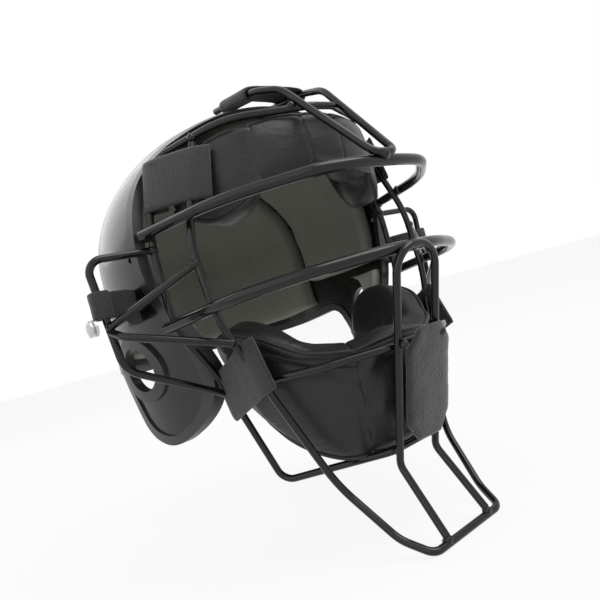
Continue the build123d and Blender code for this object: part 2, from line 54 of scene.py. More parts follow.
MM = 0.001
UP = Vector((0, 0, 1))
SIDES = (("left", 1), ("right", -1))


def mm(*numbers):
    return Vector(numbers) * MM


def mirrored(point, side):
    return Vector((point.x * side, point.y, point.z))


# Camera: the photograph's place, with its turn and its lean to the left

camera_data = bpy.data.cameras.new("camera")
camera_data.sensor_width = 36.0
camera_data.lens = 33.0
camera_data.clip_start = 0.01
camera = bpy.data.objects.new("camera", camera_data)
scene.collection.objects.link(camera)
scene.camera = camera

camera_right = Vector((0.7761, -0.5701, -0.2697))
camera_up = Vector((0.2048, -0.1767, 0.9627))
camera_back = camera_right.cross(camera_up).normalized()
camera_up = camera_back.cross(camera_right).normalized()
camera_place = mm(-216.3, -335.1, 8.2)
camera_axes = Matrix((camera_right, camera_up, camera_back)).transposed()
camera.matrix_world = Matrix.Translation(camera_place) @ camera_axes.to_4x4()


# Node material helpers

# Where most of a noise's values lie
NOISE_RANGE = (0.3, 0.7)


class Shader:
    """A material's node tree with one Principled shader."""

    def __init__(self, name, colour, roughness, **sockets):
        self.material = bpy.data.materials.new(name)
        self.material.use_nodes = True
        self.tree = self.material.node_tree
        self.surface = self.tree.nodes["Principled BSDF"]
        self.surface.inputs["Base Color"].default_value = (*colour, 1)
        self.surface.inputs["Roughness"].default_value = roughness
        for socket, value in sockets.items():
            self.surface.inputs[socket.replace("_", " ")].default_value = value

    def node(self, kind, inputs=(), **settings):
        made = self.tree.nodes.new(kind)
        for name, value in settings.items():
            setattr(made, name, value)
        for name, value in inputs:
            if isinstance(value, bpy.types.NodeSocket):
                self.tree.links.new(value, made.inputs[name])
            else:
                made.inputs[name].default_value = value
        return made

    def place(self, kind="Object", stretch=(1, 1, 1)):
        """Coordinates in metres, stretched."""
        source = self.node("ShaderNodeTexCoord").outputs[kind]
        mapping = self.node("ShaderNodeMapping", [("Vector", source), ("Scale", stretch)])
        return mapping.outputs["Vector"]

    def noise(self, where, scale, detail, rough=0.5):
        inputs = [("Vector", where), ("Scale", scale), ("Detail", detail), ("Roughness", rough)]
        return self.node("ShaderNodeTexNoise", inputs).outputs["Fac"]

    def cells(self, where, scale, feature="DISTANCE_TO_EDGE"):
        inputs = [("Vector", where), ("Scale", scale)]
        return self.node("ShaderNodeTexVoronoi", inputs, feature=feature).outputs["Distance"]

    def waves(self, where, scale, direction):
        inputs = [("Vector", where), ("Scale", scale)]
        return self.node("ShaderNodeTexWave", inputs, bands_direction=direction).outputs["Fac"]

    def math(self, operation, first, second):
        made = self.node("ShaderNodeMath", operation=operation)
        for socket, value in zip(made.inputs, (first, second)):
            if isinstance(value, bpy.types.NodeSocket):
                self.tree.links.new(value, socket)
            else:
                socket.default_value = value
        return made.outputs["Value"]

    def colours(self, value, dark, light):
        ramp = self.node("ShaderNodeValToRGB", [("Fac", value)])
        ramp.color_ramp.elements[0].color = (*dark, 1)
        ramp.color_ramp.elements[1].color = (*light, 1)
        self.tree.links.new(ramp.outputs["Color"], self.surface.inputs["Base Color"])

    def roughness(self, value, smooth, dull, seen=NOISE_RANGE):
        """Roughness from smooth to dull, as the value goes over its seen range."""
        inputs = [("Value", value), ("From Min", seen[0]), ("From Max", seen[1])]
        inputs += [("To Min", smooth), ("To Max", dull)]
        spread = self.node("ShaderNodeMapRange", inputs).outputs["Result"]
        self.tree.links.new(spread, self.surface.inputs["Roughness"])

    def bumps(self, *layers):
        """Bump layers, each a height with its depth in metres."""
        normal = None
        for height, depth in layers:
            inputs = [("Height", height), ("Distance", depth), ("Strength", 1.0)]
            if normal:
                inputs.append(("Normal", normal))
            normal = self.node("ShaderNodeBump", inputs).outputs["Normal"]
        self.tree.links.new(normal, self.surface.inputs["Normal"])


def grey(level, warmth=0.0):
    return (level * (1 + warmth), level, level * (1 - warmth))


def gloss_shell():
    """Moulded plastic with a gloss coat, a little dust and fine scuffs."""
    look = Shader("shell_gloss", grey(0.008), roughness=0.24,
                  Specular_IOR_Level=0.42, Coat_Weight=0.2, Coat_Roughness=0.12)
    where = look.place()
    scuffs = look.noise(look.place(stretch=(1, 1, 6)), scale=60, detail=6, rough=0.7)
    dust = look.noise(where, scale=25, detail=4)
    ripple = look.noise(where, scale=120, detail=2)
    grain = look.noise(where, scale=1500, detail=2)
    look.colours(dust, dark=grey(0.006), light=grey(0.012, warmth=0.05))
    look.roughness(scuffs, smooth=0.2, dull=0.32, seen=(0.35, 0.75))
    look.bumps((ripple, 0.04 * MM), (grain, 0.006 * MM))
    return look.material


def rubber_trim():
    look = Shader("edge_rubber", grey(0.016), roughness=0.38, Coat_Weight=0.2, Coat_Roughness=0.2)
    where = look.place()
    wear = look.noise(where, scale=90, detail=5)
    grain = look.noise(where, scale=900, detail=3)
    look.colours(wear, dark=grey(0.012), light=grey(0.026))
    look.roughness(wear, smooth=0.28, dull=0.46)
    look.bumps((grain, 0.03 * MM))
    return look.material


def moulded_ring():
    look = Shader("ring_plastic", grey(0.015), roughness=0.34)
    where = look.place()
    grain = look.cells(where, scale=2200)
    shades = look.noise(where, scale=200, detail=4)
    wear = look.noise(where, scale=70, detail=4)
    look.colours(shades, dark=grey(0.012), light=grey(0.022))
    look.roughness(wear, smooth=0.28, dull=0.42)
    look.bumps((grain, 0.03 * MM))
    return look.material


def powder_coat():
    """Gloss powder coat on steel wire, with its slight ripple and dull patches."""
    look = Shader("wire_coat", grey(0.004), roughness=0.16,
                  Specular_IOR_Level=0.3, Coat_Weight=0.15, Coat_Roughness=0.08)
    where = look.place()
    patches = look.noise(where, scale=70, detail=5)
    grain = look.noise(where, scale=900, detail=2)
    ripple = look.noise(where, scale=260, detail=3)
    look.colours(patches, dark=grey(0.003), light=grey(0.007))
    look.roughness(patches, smooth=0.12, dull=0.22)
    look.bumps((grain, 0.02 * MM), (ripple, 0.03 * MM))
    return look.material


def leather():
    """Coated leather: fine grain, soft wrinkles, duller in its hollows."""
    look = Shader("pad_leather", grey(0.01), roughness=0.44,
                  Specular_IOR_Level=0.38, Sheen_Weight=0.03, Sheen_Roughness=0.5)
    where = look.place()
    patches = look.noise(where, scale=35, detail=5)
    grain = look.cells(where, scale=1300, feature="SMOOTH_F1")
    wrinkles = look.noise(look.place(stretch=(1, 1, 2.6)), scale=75, detail=5, rough=0.55)
    look.colours(patches, dark=grey(0.007, warmth=0.02), light=grey(0.015, warmth=0.02))
    look.roughness(look.math("ADD", patches, grain), smooth=0.36, dull=0.5, seen=(0.5, 1.4))
    look.bumps((wrinkles, 0.6 * MM), (grain, 0.1 * MM))
    return look.material


def nylon():
    """Plain woven nylon on a pad's upper side, puckered at its seams."""
    look = Shader("pad_nylon", grey(0.02), roughness=0.5, Sheen_Weight=0.2, Sheen_Roughness=0.4)
    where = look.place()
    across = look.waves(where, scale=420, direction="X")
    upright = look.waves(where, scale=420, direction="Z")
    weave = look.math("MULTIPLY", across, upright)
    pucker_height_and_shade = look.noise(look.place(stretch=(2.2, 1, 1)), scale=90, detail=3)
    # The puckers' height also sets the colour: painted shade in their hollows and painted light on their
    # crowns.
    look.colours(pucker_height_and_shade, dark=grey(0.012), light=grey(0.034))
    look.roughness(pucker_height_and_shade, smooth=0.42, dull=0.6)
    look.bumps((pucker_height_and_shade, 1.6 * MM), (weave, 0.18 * MM))
    return look.material


def webbing():
    """Tight woven webbing: yarns along and across, with painted light on the yarn crowns and painted shade
    between the yarns, broken by fine random fuzz.
    """
    look = Shader("webbing_weave", grey(0.028), roughness=0.62, Sheen_Weight=0.25, Sheen_Roughness=0.4)
    where = look.place("UV")
    along = look.waves(where, scale=290, direction="X")
    across = look.waves(where, scale=360, direction="Y")
    yarns = look.math("MULTIPLY", along, across)
    fuzz = look.noise(where, scale=2600, detail=4, rough=0.7)
    # The colour follows the weave's height: painted light on the yarn crowns and painted shade between the
    # yarns, with fine random fuzz.
    crown_light_and_fuzz = look.math("MULTIPLY", yarns, fuzz)
    look.colours(crown_light_and_fuzz, dark=grey(0.008), light=grey(0.05, warmth=-0.03))
    look.roughness(fuzz, smooth=0.5, dull=0.75)
    look.bumps((yarns, 0.3 * MM), (fuzz, 0.12 * MM))
    return look.material


def pile_face():
    """The brushed face of a fastening tab: short matted pile, with painted light on its raised tufts and
    painted shade between them, paler in random patches.
    """
    look = Shader("tab_pile", grey(0.03), roughness=0.85, Sheen_Weight=0.5, Sheen_Roughness=0.5)
    where = look.place()
    loops = look.cells(where, scale=1700, feature="F1")
    matting = look.noise(where, scale=420, detail=6, rough=0.7)
    patches = look.noise(where, scale=60, detail=4)
    # The matting's height also sets the colour: painted light on the raised tufts and painted shade between
    # them, in random patches.
    paleness = look.math("MULTIPLY", matting, patches)
    look.colours(paleness, dark=grey(0.008), light=grey(0.045))
    look.roughness(matting, smooth=0.75, dull=0.95)
    look.bumps((matting, 0.5 * MM), (loops, 0.3 * MM))
    return look.material


def eva_foam(name, dark, light):
    """Closed-cell foam: a fine skin of cells, faint rub marks and dents."""
    look = Shader(name, dark, roughness=0.78, Sheen_Weight=0.1, Sheen_Roughness=0.6)
    where = look.place()
    cells = look.cells(where, scale=1900, feature="F1")
    paleness = look.noise(look.place(stretch=(1, 2.5, 1)), scale=28, detail=6, rough=0.6)
    dents = look.noise(where, scale=45, detail=4)
    look.colours(paleness, dark, light)
    look.roughness(paleness, smooth=0.7, dull=0.86)
    look.bumps((dents, 1.2 * MM), (cells, 0.12 * MM))
    return look.material


def brushed_steel():
    look = Shader("stud_steel", grey(0.55, warmth=0.02), roughness=0.28, Metallic=1.0)
    brushing = look.noise(look.place(stretch=(14, 1, 1)), scale=500, detail=4)
    look.colours(brushing, dark=grey(0.42, warmth=0.02), light=grey(0.66, warmth=0.03))
    look.roughness(brushing, smooth=0.2, dull=0.4)
    look.bumps((brushing, 0.03 * MM))
    return look.material


def thread():
    look = Shader("stitch_thread", grey(0.03), roughness=0.55, Sheen_Weight=0.3)
    twist = look.noise(look.place(), scale=2200, detail=3)
    look.colours(twist, dark=grey(0.015), light=grey(0.06))
    look.roughness(twist, smooth=0.45, dull=0.7)
    look.bumps((twist, 0.2 * MM))
    return look.material


looks = {
    "shell": gloss_shell(),
    "trim": rubber_trim(),
    "ring": moulded_ring(),
    "cage": powder_coat(),
    "pad": leather(),
    "nylon": nylon(),
    "webbing": webbing(),
    "tab": pile_face(),
    "foam": eva_foam("foam_olive", dark=(0.15, 0.146, 0.122), light=(0.23, 0.224, 0.19)),
    "pale_foam": eva_foam("foam_pale", dark=(0.28, 0.274, 0.24), light=(0.38, 0.372, 0.33)),
    "stud": brushed_steel(),
    "thread": thread(),
}


def finish_node(node, look):
    """A CAD node that stays gets its finish."""
    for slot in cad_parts[node].material_slots:
        slot.material = looks[look]


finish_node("helmet_shell", "shell")
finish_node("edge_trim", "trim")
CENTRE_WIRES = ("upper_eye_bar", "lower_eye_bar", "frame_wire", "throat_guard_wire",
                "mouth_loop_wire", "crown_loop_wire", "jaw_bar_wire")
SIDE_WIRES = ("ear_guard_wire", "cheek_brace_wire", "jaw_brace_wire")
for wire in CENTRE_WIRES:
    finish_node(wire, "cage")
for side_name, side in SIDES:
    for wire in SIDE_WIRES:
        finish_node(f"{wire}_{side_name}", "cage")
    finish_node(f"ear_ring_{side_name}", "ring")
    finish_node(f"press_stud_{side_name}", "stud")
    finish_node(f"cap_snap_{side_name}", "ring")


# Mesh helpers


def smooth(mesh):
    for face in mesh.polygons:
        face.use_smooth = True


def piece(name, mesh, body, look):
    """An object from a mesh or bmesh that rides on a body, with its finish and slot."""
    if isinstance(mesh, bmesh.types.BMesh):
        made = bpy.data.meshes.new(name)
        bmesh.ops.recalc_face_normals(mesh, faces=mesh.faces)
        mesh.to_mesh(made)
        mesh.free()
        mesh = made
    mesh.materials.clear()
    mesh.materials.append(looks[look])
    smooth(mesh)
    thing = bpy.data.objects.new(name, mesh)
    scene.collection.objects.link(thing)
    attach(thing, body)
    return thing


def baked(thing):
    """Puts the mesh that an object's modifiers give in place of its own."""
    graph = bpy.context.evaluated_depsgraph_get()
    mesh = bpy.data.meshes.new_from_object(thing.evaluated_get(graph), depsgraph=graph)
    thing.modifiers.clear()
    thing.data = mesh


def through(points, steps, closed=False):
    """Points on a smooth line through the given ones."""
    count = len(points)
    spans = count if closed else count - 1
    line = []
    for span in range(spans):
        if closed:
            four = [points[(span + offset) % count] for offset in (-1, 0, 1, 2)]
        else:
            four = [points[min(max(span + offset, 0), count - 1)] for offset in (-1, 0, 1, 2)]
        before, start, end, after = four
        for step in range(steps):
            t = step / steps
            line.append(
                0.5 * (2 * start + (end - before) * t
                       + (2 * before - 5 * start + 4 * end - after) * t * t
                       + (3 * start - before - 3 * end + after) * t ** 3))
    if not closed:
        line.append(points[-1].copy())
    return line


CORNER_CUT = 0.25


def eased(points, rounds=3):
    """The line with its corners cut again and again, its ends kept."""
    for _ in range(rounds):
        cut = [points[0]]
        for start, end in zip(points, points[1:]):
            cut += [start.lerp(end, CORNER_CUT), start.lerp(end, 1 - CORNER_CUT)]
        points = cut + [points[-1]]
    return points


def spaced(points, step):
    """Points a step apart along a line."""
    found = [points[0].copy()]
    left = step
    for start, end in zip(points, points[1:]):
        run = (end - start).length
        while run > left:
            start = start.lerp(end, left / run)
            run -= left
            left = step
            found.append(start.copy())
        left -= run
    return found


def grid(mesh, rings):
    """Faces between rings of points, each ring closed, and one over each end."""
    rows = [[mesh.verts.new(point) for point in ring] for ring in rings]
    for row, following in zip(rows, rows[1:]):
        for index in range(len(row)):
            after = (index + 1) % len(row)
            mesh.faces.new((row[index], row[after], following[after], following[index]))
    mesh.faces.new(rows[0])
    mesh.faces.new(rows[-1])
    return rows


TUBE_END_SHARE = 0.55


def tube(mesh, line, radius, sides=8):
    """A round tube along a line, its ends drawn in."""
    rings = []
    normal = None
    for index, point in enumerate(line):
        ahead = line[min(index + 1, len(line) - 1)]
        behind = line[max(index - 1, 0)]
        along = (ahead - behind).normalized()
        if normal is None:
            normal = along.orthogonal().normalized()
        normal = (normal - along * normal.dot(along)).normalized()
        other = along.cross(normal)
        size = radius * (TUBE_END_SHARE if index in (0, len(line) - 1) else 1)
        ring = []
        for step in range(sides):
            turn = 2 * math.pi * step / sides
            ring.append(point + (normal * math.cos(turn) + other * math.sin(turn)) * size)
        rings.append(ring)
    grid(mesh, rings)


# Soft panels of the cap: the solids' forms with moulded, rounded edges

FOAM_VOXEL = 3.2 * MM
EAR_FOAM_VOXEL = 2.4 * MM
FOAM_LUMP_SCALE = 38
FOAM_LUMP_HEIGHT = 0.5 * MM


def softened(node, look, voxel, rounding):
    """A foam panel: its solid, skinned afresh, with its edges rounded and its skin uneven."""
    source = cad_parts[node]
    panel = piece("soft_" + node, source.data.copy(), "helmet", look)
    remesh = panel.modifiers.new("skin", "REMESH")
    remesh.mode = "VOXEL"
    remesh.voxel_size = voxel
    rounder = panel.modifiers.new("round", "SMOOTH")
    rounder.factor = 0.5
    rounder.iterations = rounding
    baked(panel)
    for vertex in panel.data.vertices:
        lump = noise.noise(vertex.co * FOAM_LUMP_SCALE) * FOAM_LUMP_HEIGHT
        vertex.co += vertex.normal * lump
    smooth(panel.data)
    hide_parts(node)


softened("crown_foam", "foam", FOAM_VOXEL, rounding=6)
softened("rear_foam", "foam", FOAM_VOXEL, rounding=6)
for side_name, side in SIDES:
    softened(f"side_foam_{side_name}", "foam", FOAM_VOXEL, rounding=6)
    softened(f"ear_foam_{side_name}", "pale_foam", EAR_FOAM_VOXEL, rounding=5)


# Pads: rings of points round a face-shaped arc, panel by panel, blown up as cloth

ANGLE_SLACK = 1e-6


def share_at(rows, angle, column):
    """A row table's value at an angle, smooth from row to row."""
    places = [row[0] for row in rows]
    values = [row[column] for row in rows]
    slopes = []
    for index in range(len(rows)):
        low = max(index - 1, 0)
        high = min(index + 1, len(rows) - 1)
        slopes.append((values[high] - values[low]) / (places[high] - places[low]))
    span = max(index for index in range(len(rows) - 1) if places[index] <= angle + ANGLE_SLACK)
    run = places[span + 1] - places[span]
    t = (angle - places[span]) / run
    start = values[span] * (2 * t ** 3 - 3 * t ** 2 + 1) + slopes[span] * run * (t ** 3 - 2 * t ** 2 + t)
    return start + values[span + 1] * (3 * t ** 2 - 2 * t ** 3) + slopes[span + 1] * run * (t ** 3 - t ** 2)


class Pad:
    """A pad's arc and the sizes of its sections, in millimetres, as in the part's source.

    The lean is in degrees. The rise is 1 where a row's shift lifts the foot and -1 where it lowers it.
    """

    def __init__(self, half_width, depth, centre_y, z, height, thickness, lean, back_growth, rise):
        self.half_width = half_width * MM
        self.depth = depth * MM
        self.centre_y = centre_y * MM
        self.z = z * MM
        self.height = height * MM
        self.thickness = thickness * MM
        self.lean = math.radians(lean)
        self.back_growth = back_growth
        self.rise = rise

    def ring(self, rows, angle, outline, draw_in):
        """The section at an angle; rows name its foot's shift, height and thickness."""
        turn = math.radians(angle)
        outward = Vector((math.sin(turn) / self.half_width, -math.cos(turn) / self.depth, 0)).normalized()
        foot_z = self.z + self.rise * self.height * share_at(rows, abs(angle), 1)
        height = self.height * share_at(rows, abs(angle), 2)
        thick = self.thickness * share_at(rows, abs(angle), 3)
        back = self.back_growth * math.cos(turn)
        origin_y = self.centre_y - self.depth * math.cos(turn)
        origin = Vector((self.half_width * math.sin(turn), origin_y, foot_z))
        ring = []
        for u_share, v_share in outline:
            u = -thick * u_share * (1 + back * v_share)
            v = height * v_share
            u += (-thick / 2 - u) * draw_in
            v += (height / 2 - v) * draw_in
            ring.append(
                origin + outward * (u * math.cos(self.lean) + v * math.sin(self.lean))
                + UP * (v * math.cos(self.lean) - u * math.sin(self.lean)))
        return ring


# Sections, as shares of thickness back from the front and of height
PLAIN_SECTION = ((0.02, 0.5), (0.06, 0.82), (0.17, 0.95), (0.5, 0.99), (0.86, 0.94),
                 (0.98, 0.5), (0.87, 0.08), (0.5, 0.01), (0.14, 0.07), (0.05, 0.2))
CREASED_SECTION = ((0.0, 0.42), (0.03, 0.64), (0.13, 0.77), (0.16, 0.82), (0.08, 0.89),
                   (0.16, 0.97), (0.5, 0.99), (0.86, 0.94), (0.98, 0.5), (0.87, 0.08),
                   (0.5, 0.01), (0.14, 0.06), (0.03, 0.2))
SECTION_STEPS = 3

# Degrees between a panel's rings, and from a seam to the ring that shoulders it
RING_STEP = 3.6
SHOULDER_STEP = 0.9

# How far a ring is drawn in to its section's middle, as a share
SEAM_DRAW_IN = 0.045
SHOULDER_DRAW_IN = 0.006

PUFF_FRAMES = 20
PUFF_LIMIT = 3.0 * MM


def puffed(pad, held):
    """Blows a closed pad up as cloth. Its seams are held, and each point stays near its start."""
    rest = [vertex.co.copy() for vertex in pad.data.vertices]
    group = pad.vertex_groups.new(name="held")
    group.add(held, 1.0, "REPLACE")
    cloth = pad.modifiers.new("cloth", "CLOTH").settings
    cloth.quality = 6
    cloth.mass = 0.3
    cloth.use_pressure = True
    cloth.uniform_pressure_force = 4
    cloth.shrink_min = -0.05
    cloth.vertex_group_mass = "held"
    cloth.effector_weights.gravity = 0
    for step in range(1, PUFF_FRAMES + 1):
        scene.frame_set(step)
    baked(pad)
    scene.frame_set(1)
    pad.vertex_groups.clear()
    for vertex, start in zip(pad.data.vertices, rest):
        shift = vertex.co - start
        if shift.length > PUFF_LIMIT:
            vertex.co = start + shift.normalized() * PUFF_LIMIT


def pad_columns(panels):
    """Each ring's angle, its panel's rows, its draw-in and whether it is a seam."""
    edge_angle = panels[-1][-1][0]
    columns = []
    for rows in panels:
        first, last = rows[0][0], rows[-1][0]
        count = max(3, round((last - first) / RING_STEP))
        for step in range(count + 1):
            angle = first + (last - first) * step / count
            seam = (step == 0 and first > 0) or (step == count and last < edge_angle)
            if first == 0 or step > 0:
                columns.append((angle, rows, SEAM_DRAW_IN if seam else 0.0, seam))
            if seam and step == 0:
                columns.append((angle + SHOULDER_STEP, rows, SHOULDER_DRAW_IN, False))
            if seam and step == count:
                columns.insert(-1, (angle - SHOULDER_STEP, rows, SHOULDER_DRAW_IN, False))
    other_half = [(-angle, rows, draw_in, seam) for angle, rows, draw_in, seam in columns[:0:-1]]
    return other_half + columns


def cushion(name, node, pad, outline, panels, nylon_marks=None):
    """A seamed cushion. It gives the lines along the pad, one for each point of its section."""
    section = through([Vector((u, v, 0)) for u, v in outline], SECTION_STEPS, closed=True)
    section = [(point.x, point.y) for point in section]
    size = len(section)
    columns = pad_columns(panels)
    mesh = bmesh.new()
    grid(mesh, [pad.ring(rows, angle, section, draw_in) for angle, rows, draw_in, seam in columns])
    held_rings = [0] + [index for index, column in enumerate(columns) if column[3]] + [len(columns) - 1]
    soft = piece(name, mesh, "mask", "pad")
    puffed(soft, [ring * size + index for ring in held_rings for index in range(size)])
    places = [vertex.co.copy() for vertex in soft.data.vertices]
    soft.data.materials.append(looks["nylon"])
    if nylon_marks:
        low, high = nylon_marks
        for face in soft.data.polygons:
            marks = [vertex % size for vertex in face.vertices]
            if low <= min(marks) and max(marks) <= high:
                face.material_index = 1
    finer = soft.modifiers.new("finer", "SUBSURF")
    finer.levels = 1
    finer.render_levels = 1
    baked(soft)
    smooth(soft.data)
    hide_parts(node)
    return [[places[ring * size + index] for ring in range(len(columns))] for index in range(size)]


PIPING_STEPS = 2


def piping(name, lines, radius):
    mesh = bmesh.new()
    for line in lines:
        tube(mesh, through(line, PIPING_STEPS), radius)
    piece(name, mesh, "mask", "pad")


# Each row of a panel: its angle, then shares for the foot's shift, the height and the thickness
brow = Pad(half_width=77, depth=71, centre_y=-39, z=117, height=38, thickness=27,
           lean=0, back_growth=0.5, rise=-1)
BROW_PANELS = (
    ((0, 0.92, 0.92, 0.96), (9, 0.88, 0.86, 0.80)),
    ((9, 0.88, 0.86, 0.80), (21, 0.98, 0.98, 1.0), (33, 1.0, 0.96, 0.84)),
    ((33, 1.0, 0.96, 0.84), (46, 1.24, 1.20, 1.0), (60, 1.32, 1.18, 0.92), (72, 1.14, 0.86, 0.74),
     (80, 0.94, 0.50, 0.42)),
)
BROW_NYLON = (2 * SECTION_STEPS, 5 * SECTION_STEPS)
BROW_PIPED = (2 * SECTION_STEPS, 8 * SECTION_STEPS)
brow_lines = cushion("brow_cushion", "brow_pad", brow, PLAIN_SECTION, BROW_PANELS, BROW_NYLON)
piping("brow_piping", [brow_lines[mark] for mark in BROW_PIPED], radius=1.1 * MM)

jaw = Pad(half_width=52, depth=62, centre_y=-44, z=-83, height=68, thickness=25,
          lean=18, back_growth=0, rise=1)
JAW_PANELS = (
    ((0, 0, 1.02, 1.0), (24, 0.01, 0.98, 0.90)),
    ((24, 0.01, 0.98, 0.90), (44, 0.05, 1.04, 1.0), (62, 0.18, 1.10, 1.0), (78, 0.36, 0.99, 0.96),
     (92, 0.52, 0.76, 0.84), (101, 0.66, 0.42, 0.50)),
)
JAW_BOUND = (5 * SECTION_STEPS, 11 * SECTION_STEPS)
jaw_lines = cushion("jaw_cushion", "jaw_pad", jaw, CREASED_SECTION, JAW_PANELS)
piping("jaw_binding", [jaw_lines[mark] for mark in JAW_BOUND], radius=1.2 * MM)


# Webbing: bands along a line, with firm selvedges

WIRE_RADIUS = 2.1 * MM
WEB = 1.8 * MM
HALF_WEB_WIDTH = 15 * MM

# Shares across a band, each with its share of the band's thickness
BAND_PROFILE = ((0.0, 0.3), (0.03, 0.9), (0.08, 1.12), (0.5, 1.0), (0.92, 1.12), (0.97, 0.9), (1.0, 0.3))
RIPPLE_SCALE = 160
RIPPLE_HEIGHT = 0.25 * MM

STITCH_PITCH = 2.6 * MM
STITCH_LENGTH = 1.9 * MM
STITCH_SHARES = (0, 0.3, 0.7, 1)
THREAD_RADIUS = 0.28 * MM
THREAD_SIDES = 6
STITCH_ROWS = (-12.5 * MM, 12.5 * MM)


def band(name, line, across, lows, highs, body):
    """A woven band. Lows and highs are its edges along the across direction, one for each point."""
    mesh = bmesh.new()
    layer = mesh.loops.layers.uv.new("weave")
    rings = []
    marks = []
    run = 0.0
    for index, point in enumerate(line):
        ahead = line[min(index + 1, len(line) - 1)]
        behind = line[max(index - 1, 0)]
        along = (ahead - behind).normalized()
        outward = along.cross(across).normalized()
        if index:
            run += (point - line[index - 1]).length
        ripple = noise.noise(point * RIPPLE_SCALE) * RIPPLE_HEIGHT
        ring = []
        for face_side in (1, -1):
            for share, full in BAND_PROFILE[::face_side]:
                reach = lows[index] + (highs[index] - lows[index]) * share
                ring.append(point + across * reach + outward * (face_side * full * WEB / 2 + ripple))
                marks.append((run, reach))
        rings.append(ring)
    vertices = [vertex for row in grid(mesh, rings) for vertex in row]
    where = dict(zip(vertices, marks))
    for face in mesh.faces:
        for loop in face.loops:
            loop[layer].uv = where[loop.vert]
    return piece(name, mesh, body, "webbing")


def even_edges(line):
    """The edges of webbing of full width, at every point of a line."""
    return [-HALF_WEB_WIDTH] * len(line), [HALF_WEB_WIDTH] * len(line)


def rounded_edges(line, radius):
    """Edges that round off towards a line's end, its start cut straight."""
    total = sum((end - start).length for start, end in zip(line, line[1:]))
    lows, highs = [], []
    run = 0.0
    for index, point in enumerate(line):
        if index:
            run += (point - line[index - 1]).length
        inside = max(radius - (total - run), 0)
        drop = radius - math.sqrt(max(radius ** 2 - inside ** 2, 0))
        lows.append(-HALF_WEB_WIDTH + drop)
        highs.append(HALF_WEB_WIDTH - drop)
    return lows, highs


def stitches(name, rows):
    """Rows of short threads along lines."""
    mesh = bmesh.new()
    for row in rows:
        marks = spaced(row, STITCH_PITCH)
        for start, end in zip(marks, marks[1:]):
            along = (end - start).normalized() * STITCH_LENGTH
            tube(mesh, [start + along * share for share in STITCH_SHARES], THREAD_RADIUS, THREAD_SIDES)
    piece(name, mesh, "mask", "thread")


# Points of the part's wires, on the left side where they have one
side_top = mm(91.7, -48, 66.1)
arch_end = mm(80.5, -48, 113.1)
cheek_top = mm(62.9, -71, 115.3)
cheek_upper = mm(80.5, -77.2, 72)
cheek_bend = mm(82.1, -80.7, 15)
throat_knee = mm(45.8, -93.4, -86.4)
jaw_bend = mm(72.8, -48, -16.8)
jaw_corner = mm(50, -48, -86.4)
crown_nose = mm(0, -148.5, 75.1)
crown_rest = mm(20, -38, 148.3)
mouth_top = mm(0, -151.4, 25.7)
mouth_foot = mm(15, -114.5, -78)
jaw_bar_z = -22 * MM


def temple_tab(side_name, side):
    """Webbing from the brow pad, over the cheek wire, round the frame and back on itself."""
    front_length = 13.5 * MM
    back_length = 10.5 * MM
    stitch_margin = 2 * MM
    stitch_lift = WEB * 0.62
    frame_share, cheek_share = 0.68, 0.6
    turn = side_top.lerp(arch_end, frame_share)
    cheek = cheek_upper.lerp(cheek_top, cheek_share)
    up = (arch_end - side_top).normalized()
    ahead = cheek - turn
    ahead = (ahead - up * ahead.dot(up)).normalized()
    aside = up.cross(ahead)
    reach = (cheek - turn).dot(ahead)
    out = WIRE_RADIUS + WEB / 2
    flat = ((reach + front_length, 0), (reach + out, out + WEB / 2), (-out, out), (-out, -out),
            (back_length, -out))
    line = eased([turn + ahead * x + aside * y for x, y in flat])
    line = [mirrored(point, side) for point in line]
    lows, highs = even_edges(line)
    tab = band("temple_webbing_" + side_name, line, mirrored(up, side), lows, highs, "mask")
    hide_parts("temple_tab_" + side_name)
    stitched = turn + aside * (out + stitch_lift)
    rows = []
    for height in STITCH_ROWS:
        ends = [stitched + ahead * x + up * height for x in (stitch_margin, reach - stitch_margin)]
        rows.append([mirrored(point, side) for point in ends])
    stitches("temple_stitches_" + side_name, rows)


def crown_tab():
    """Webbing across both legs of the crown loop, its ends tucked under them."""
    knee_back, knee_up, past_knee = 0.62, 0.894, 0.4
    tuck_share, flat_share = 0.74, 0.5
    flat_lift = 1.2 * MM
    stitch_lift = 1.8 * MM
    reach = crown_rest.y - crown_nose.y
    rise = crown_rest.z - crown_nose.z
    middle_y = crown_nose.y + reach * (knee_back + (1 - knee_back) * past_knee)
    middle_z = crown_nose.z + rise * (knee_up + (1 - knee_up) * past_knee)
    middle = Vector((0, middle_y, middle_z))
    lean = math.atan2(rise * (1 - knee_up), reach * (1 - knee_back))
    across = Vector((0, math.cos(lean), math.sin(lean)))
    above = Vector((0, -math.sin(lean), math.cos(lean)))
    over = WIRE_RADIUS + WEB / 2
    half = crown_rest.x + over
    flat = [(half * tuck_share, -over), (half, -over), (half, over), (half * flat_share, over + flat_lift)]
    flat += [(-x, z) for x, z in flat[::-1]]
    line = eased([middle + Vector((x, 0, 0)) + above * z for x, z in flat])
    lows, highs = even_edges(line)
    tab = band("crown_webbing", line, across, lows, highs, "mask")
    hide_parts("crown_tab")
    rows = []
    for place in STITCH_ROWS:
        start = middle + above * (over + stitch_lift) + across * place
        rows.append([start + Vector((x, 0, 0)) for x in (-half * flat_share, half * flat_share)])
    stitches("crown_stitches", rows)


